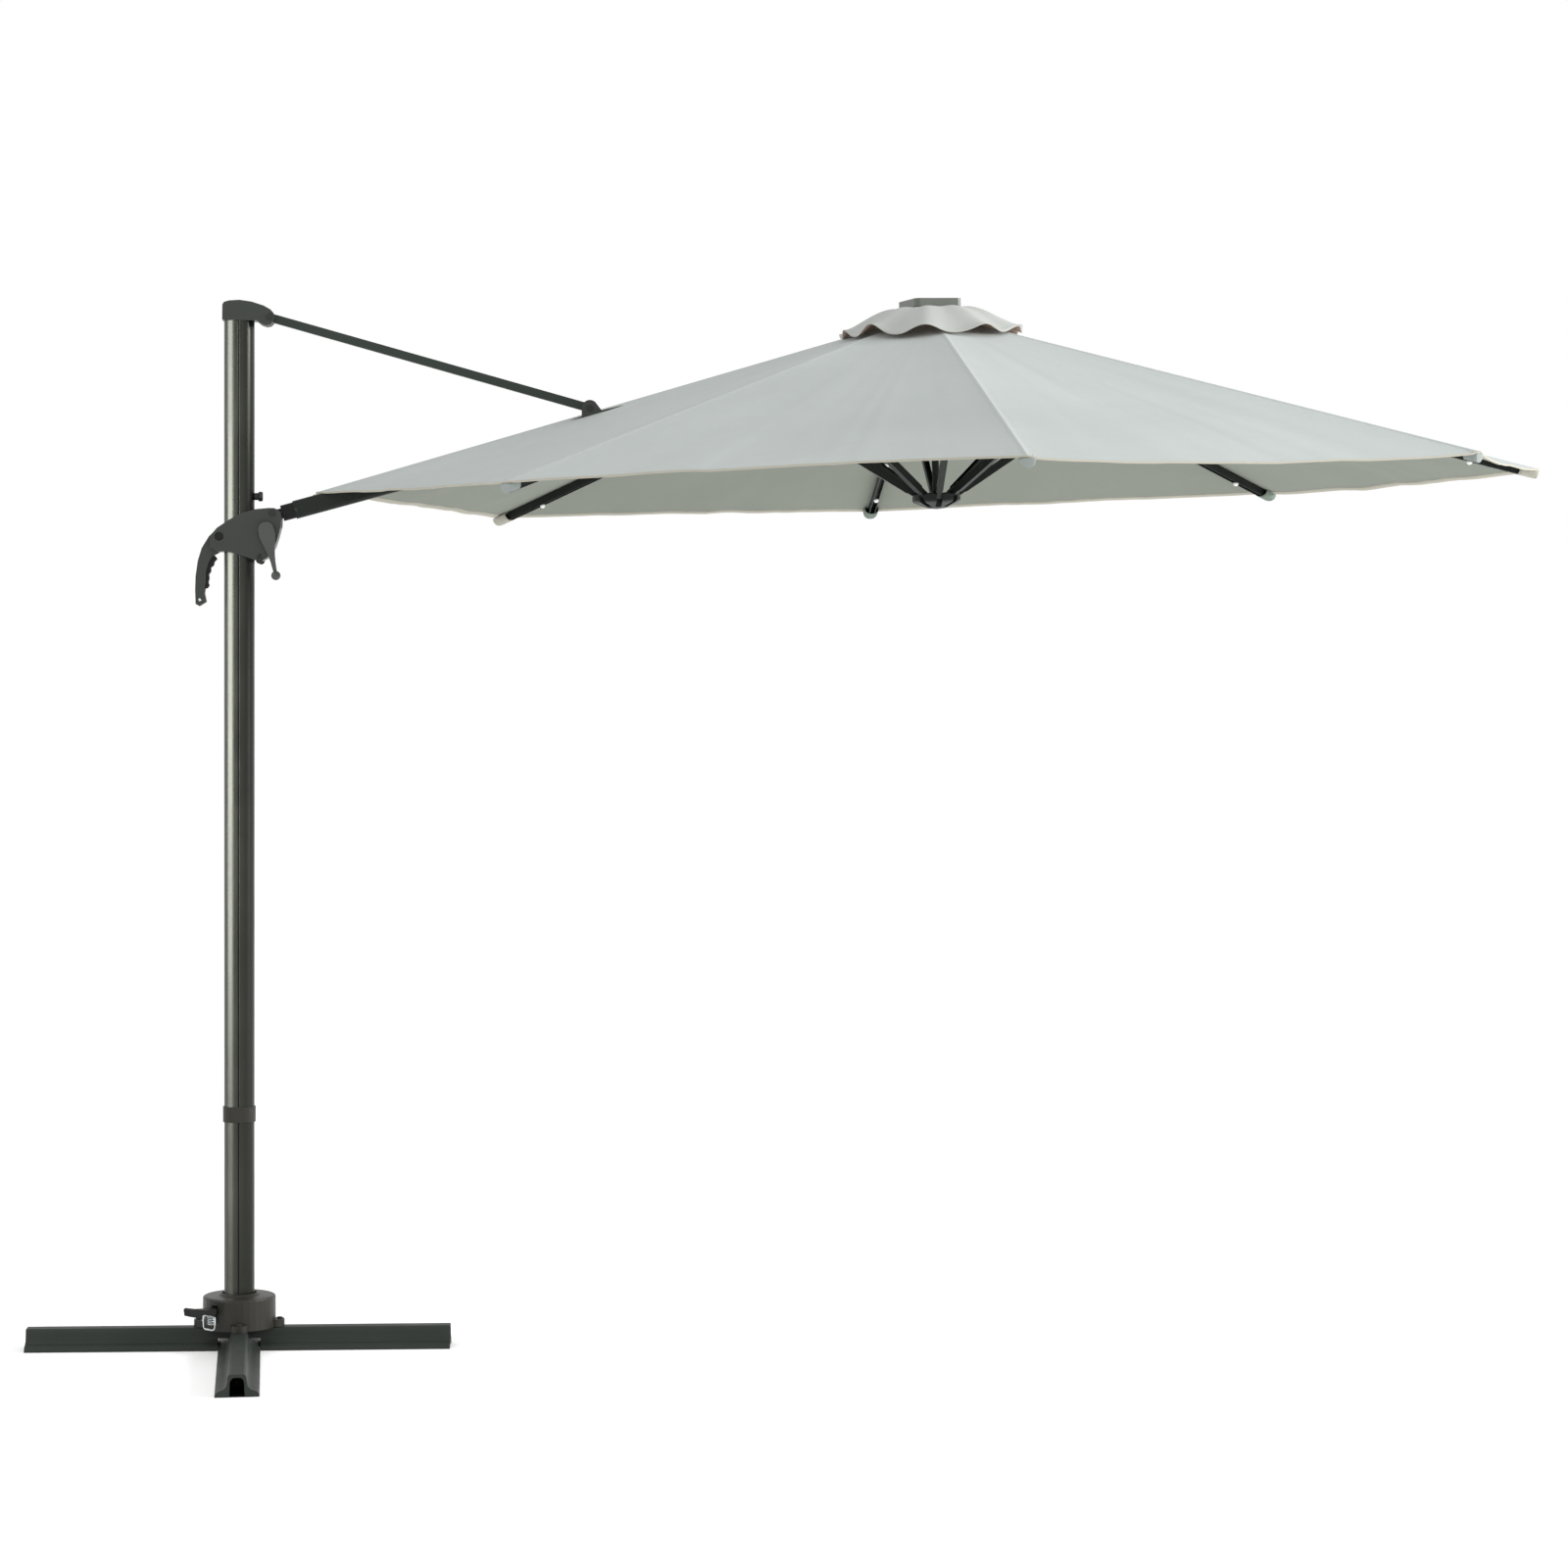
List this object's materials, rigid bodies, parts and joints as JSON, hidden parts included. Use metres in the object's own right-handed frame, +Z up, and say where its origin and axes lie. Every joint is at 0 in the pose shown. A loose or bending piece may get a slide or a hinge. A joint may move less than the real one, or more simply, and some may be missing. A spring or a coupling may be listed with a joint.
{
  "type": "cantilever parasol",
  "caption": "Side-post garden parasol: oval mast on a cross base, sliding grip, sloping arm and tie rod, pale octagonal canopy on folding ribs with a vent and a solar cap.",
  "frame": {"origin": "middle of the foot of the whole part's box, on the ground", "axes": "+X from the mast along the arm to the canopy, +Z up, +Y away from the side the crank is on"},
  "size_m": [3.624, 2.95, 2.4796],
  "materials": {
    "base_paint": "satin dark grey powder coat",
    "drum_plastic": "matt brownish dark grey plastic",
    "mast_paint": "satin dark grey powder coat",
    "dark_plastic": "satin dark grey moulded plastic",
    "black_plastic": "matt black moulded plastic",
    "steel_pin": "dark painted steel",
    "zinc": "bright plated steel",
    "arm_aluminium": "satin dark grey painted aluminium",
    "rib_aluminium": "satin dark grey painted aluminium",
    "cloth": "pale grey woven canopy cloth",
    "solar_plastic": "pale grey moulded plastic",
    "solar_glass": "near-black glossy solar cell"
  },
  "bodies": {
    "base": {"base_leg_long": "base_paint", "base_leg_cross": "base_paint", "base_flange": "drum_plastic", "flange_bolt_1": "steel_pin", "flange_bolt_2": "steel_pin", "flange_bolt_3": "steel_pin", "flange_bolt_4": "steel_pin", "bearing_ring": "black_plastic", "drum_cover": "drum_plastic"},
    "pedal": {"lock_pedal": "black_plastic", "pedal_loop": "zinc"},
    "mast": {"mast_socket": "mast_paint", "mast_lower": "mast_paint", "mast_upper": "mast_paint", "mast_spigot": "mast_paint", "mast_collar": "dark_plastic", "mast_cap": "dark_plastic", "cap_pin": "steel_pin", "stop_knob": "black_plastic"},
    "slider": {"slider_shell_near": "dark_plastic", "slider_shell_far": "dark_plastic", "slider_bolt": "steel_pin", "slider_rivet": "steel_pin", "arm_pivot_pin": "steel_pin", "slider_roller": "black_plastic"},
    "trigger": {"grip_trigger": "black_plastic"},
    "crank": {"crank": "dark_plastic", "winch_spool": "black_plastic"},
    "tie_rod": {"tie_rod": "arm_aluminium"},
    "arm": {"arm_tube": "arm_aluminium", "arm_root": "black_plastic", "arm_bracket": "dark_plastic", "bracket_pin": "steel_pin", "crown_hub": "dark_plastic", "solar_housing": "solar_plastic", "solar_cell": "solar_glass", "canopy": "cloth", "vent_canopy": "cloth"},
    "runner": {"runner": "dark_plastic", "runner_tube": "rib_aluminium"},
    "rib_1": {"rib_1": "rib_aluminium"},
    "strut_1": {"strut_1": "rib_aluminium"},
    "rib_2": {"rib_2": "rib_aluminium"},
    "strut_2": {"strut_2": "rib_aluminium"},
    "rib_3": {"rib_3": "rib_aluminium"},
    "strut_3": {"strut_3": "rib_aluminium"},
    "rib_4": {"rib_4": "rib_aluminium"},
    "strut_4": {"strut_4": "rib_aluminium"},
    "rib_5": {"rib_5": "rib_aluminium"},
    "strut_5": {"strut_5": "rib_aluminium"},
    "rib_6": {"rib_6": "rib_aluminium"},
    "strut_6": {"strut_6": "rib_aluminium"},
    "rib_7": {"rib_7": "rib_aluminium"},
    "strut_7": {"strut_7": "rib_aluminium"},
    "rib_8": {"rib_8": "rib_aluminium"},
    "strut_8": {"strut_8": "rib_aluminium"}
  },
  "joints": [
    {"name": "turntable_spin", "type": "hinge", "parent": "base", "child": "mast", "pos_m": [-1.31559, -0.028, 0.072], "axis": [0, 0, 1], "continuous": true},
    {"name": "pedal_press", "type": "hinge", "parent": "base", "child": "pedal", "pos_m": [-1.37349, -0.0995, 0.102], "axis": [0.7771, -0.6293, 0], "range_deg": [0, 6], "stiffness_Nm_per_rad": 4, "springref_deg": -8.59},
    {"name": "slider_slide", "type": "slide", "parent": "mast", "child": "slider", "axis": [0, 0, 1], "range_m": [-0.35, 0]},
    {"name": "trigger_pull", "type": "hinge", "parent": "slider", "child": "trigger", "pos_m": [-1.37059, -0.028, 1.858], "axis": [0, 1, 0], "range_deg": [0, 3], "stiffness_Nm_per_rad": 1, "springref_deg": -11.46},
    {"name": "crank_turn", "type": "hinge", "parent": "slider", "child": "crank", "pos_m": [-1.25059, -0.028, 1.921], "axis": [0, 1, 0], "continuous": true},
    {"name": "arm_tilt", "type": "hinge", "parent": "slider", "child": "arm", "pos_m": [-1.23759, -0.028, 1.96], "axis": [0, 1, 0], "range_deg": [-14.34, 0]},
    {"name": "rod_tilt", "type": "hinge", "parent": "mast", "child": "tie_rod", "pos_m": [-1.24359, -0.028, 2.421], "axis": [0, 1, 0], "range_deg": [0, 15.8]},
    {"name": "rib_1_fold", "type": "hinge", "parent": "arm", "child": "rib_1", "pos_m": [0.39636, 0, 2.41451], "axis": [0, 1, 0], "range_deg": [0, 63.8], "deforming": ["canopy"]},
    {"name": "strut_1_turn", "type": "hinge", "parent": "rib_1", "child": "strut_1", "pos_m": [0.79926, 0, 2.2942], "axis": [0, 1, 0], "range_deg": [-112.65, 0]},
    {"name": "rib_2_fold", "type": "hinge", "parent": "arm", "child": "rib_2", "pos_m": [0.37529, -0.05091, 2.41378], "axis": [0.7067, 0.7071, 0.0247], "range_deg": [0, 64.3]},
    {"name": "strut_2_turn", "type": "hinge", "parent": "rib_2", "child": "strut_2", "pos_m": [0.66155, -0.33266, 2.28939], "axis": [0.7067, 0.7071, 0.0247], "range_deg": [-112.65, 0]},
    {"name": "rib_3_fold", "type": "hinge", "parent": "arm", "child": "rib_3", "pos_m": [0.32441, -0.072, 2.412], "axis": [0.9994, 0, 0.0349], "range_deg": [0, 64.3]},
    {"name": "strut_3_turn", "type": "hinge", "parent": "rib_3", "child": "strut_3", "pos_m": [0.32909, -0.47045, 2.27778], "axis": [0.9994, 0, 0.0349], "range_deg": [-112.65, 0]},
    {"name": "rib_4_fold", "type": "hinge", "parent": "arm", "child": "rib_4", "pos_m": [0.27353, -0.05091, 2.41022], "axis": [0.7067, -0.7071, 0.0247], "range_deg": [0, 64.3]},
    {"name": "strut_4_turn", "type": "hinge", "parent": "rib_4", "child": "strut_4", "pos_m": [-0.00336, -0.33266, 2.26617], "axis": [0.7067, -0.7071, 0.0247], "range_deg": [-112.65, 0]},
    {"name": "rib_5_fold", "type": "hinge", "parent": "arm", "child": "rib_5", "pos_m": [0.25245, 0, 2.40949], "axis": [0, -1, 0], "range_deg": [0, 64.3]},
    {"name": "strut_5_turn", "type": "hinge", "parent": "rib_5", "child": "strut_5", "pos_m": [-0.14443, 0, 2.27061], "axis": [0, -1, 0], "range_deg": [-112.65, 0]},
    {"name": "rib_6_fold", "type": "hinge", "parent": "arm", "child": "rib_6", "pos_m": [0.27353, 0.05091, 2.41022], "axis": [-0.7067, -0.7071, -0.0247], "range_deg": [0, 64.3]},
    {"name": "strut_6_turn", "type": "hinge", "parent": "rib_6", "child": "strut_6", "pos_m": [-0.00336, 0.33266, 2.26617], "axis": [-0.7067, -0.7071, -0.0247], "range_deg": [-112.65, 0]},
    {"name": "rib_7_fold", "type": "hinge", "parent": "arm", "child": "rib_7", "pos_m": [0.32441, 0.072, 2.412], "axis": [-0.9994, 0, -0.0349], "range_deg": [0, 64.3]},
    {"name": "strut_7_turn", "type": "hinge", "parent": "rib_7", "child": "strut_7", "pos_m": [0.32909, 0.47045, 2.27778], "axis": [-0.9994, 0, -0.0349], "range_deg": [-112.65, 0]},
    {"name": "rib_8_fold", "type": "hinge", "parent": "arm", "child": "rib_8", "pos_m": [0.37529, 0.05091, 2.41378], "axis": [-0.7067, 0.7071, -0.0247], "range_deg": [0, 64.3]},
    {"name": "strut_8_turn", "type": "hinge", "parent": "rib_8", "child": "strut_8", "pos_m": [0.66155, 0.33266, 2.28939], "axis": [-0.7067, 0.7071, -0.0247], "range_deg": [-112.65, 0]},
    {"name": "runner_slide", "type": "slide", "parent": "arm", "child": "runner", "axis": [0.0349, 0, -0.9994], "range_m": [0, 0.5223]}
  ],
  "couplings": [
    {"joint": "arm_tilt", "follows": "slider_slide", "rad_per_m": 0.66543},
    {"joint": "rod_tilt", "follows": "slider_slide", "rad_per_m": -0.73782},
    {"joint": "strut_1_turn", "follows": "rib_1_fold", "ratio": -1.75},
    {"joint": "rib_2_fold", "follows": "rib_1_fold", "ratio": 1},
    {"joint": "strut_2_turn", "follows": "rib_1_fold", "ratio": -1.75},
    {"joint": "rib_3_fold", "follows": "rib_1_fold", "ratio": 1},
    {"joint": "strut_3_turn", "follows": "rib_1_fold", "ratio": -1.75},
    {"joint": "rib_4_fold", "follows": "rib_1_fold", "ratio": 1},
    {"joint": "strut_4_turn", "follows": "rib_1_fold", "ratio": -1.75},
    {"joint": "rib_5_fold", "follows": "rib_1_fold", "ratio": 1},
    {"joint": "strut_5_turn", "follows": "rib_1_fold", "ratio": -1.75},
    {"joint": "rib_6_fold", "follows": "rib_1_fold", "ratio": 1},
    {"joint": "strut_6_turn", "follows": "rib_1_fold", "ratio": -1.75},
    {"joint": "rib_7_fold", "follows": "rib_1_fold", "ratio": 1},
    {"joint": "strut_7_turn", "follows": "rib_1_fold", "ratio": -1.75},
    {"joint": "rib_8_fold", "follows": "rib_1_fold", "ratio": 1},
    {"joint": "strut_8_turn", "follows": "rib_1_fold", "ratio": -1.75},
    {"joint": "runner_slide", "follows": "rib_1_fold", "m_per_rad": 0.46005}
  ]
}
